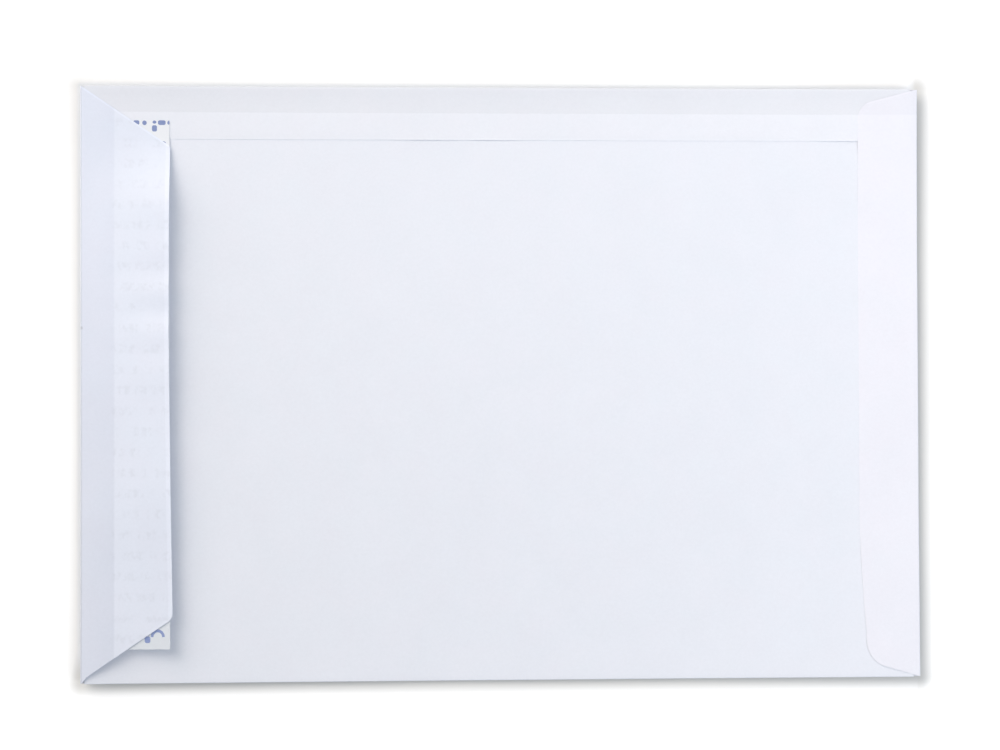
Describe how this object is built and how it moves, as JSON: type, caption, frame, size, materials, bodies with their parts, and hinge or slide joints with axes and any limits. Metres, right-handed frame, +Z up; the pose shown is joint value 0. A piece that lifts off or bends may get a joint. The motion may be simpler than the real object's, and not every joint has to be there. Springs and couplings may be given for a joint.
{
  "type": "pocket envelope",
  "caption": "Flat paper pocket envelope, back side up, with a side seam, a bottom flap and a seal flap that carries an adhesive strip under a release liner.",
  "frame": {"origin": "middle of the envelope's outline, on the surface it lies on", "axes": "+X along the long side, from the seal flap's fold towards the bottom flap; +Y across, towards the side seam; +Z up, out of the back panel"},
  "size_m": [0.324, 0.229, 0.0054],
  "materials": {
    "envelope_paper": "uncoated white wove paper with a cool tint",
    "dried_gum": "thin dried film, slightly glossy",
    "seal_adhesive": "tacky translucent film",
    "liner_paper": "smooth silicone-coated release paper with blue print marks"
  },
  "bodies": {
    "root": {"envelope_sheet": "envelope_paper", "side_seam_gum": "dried_gum", "bottom_seam_gum": "dried_gum", "seal_adhesive": "seal_adhesive", "release_liner": "liner_paper"}
  },
  "joints": []
}
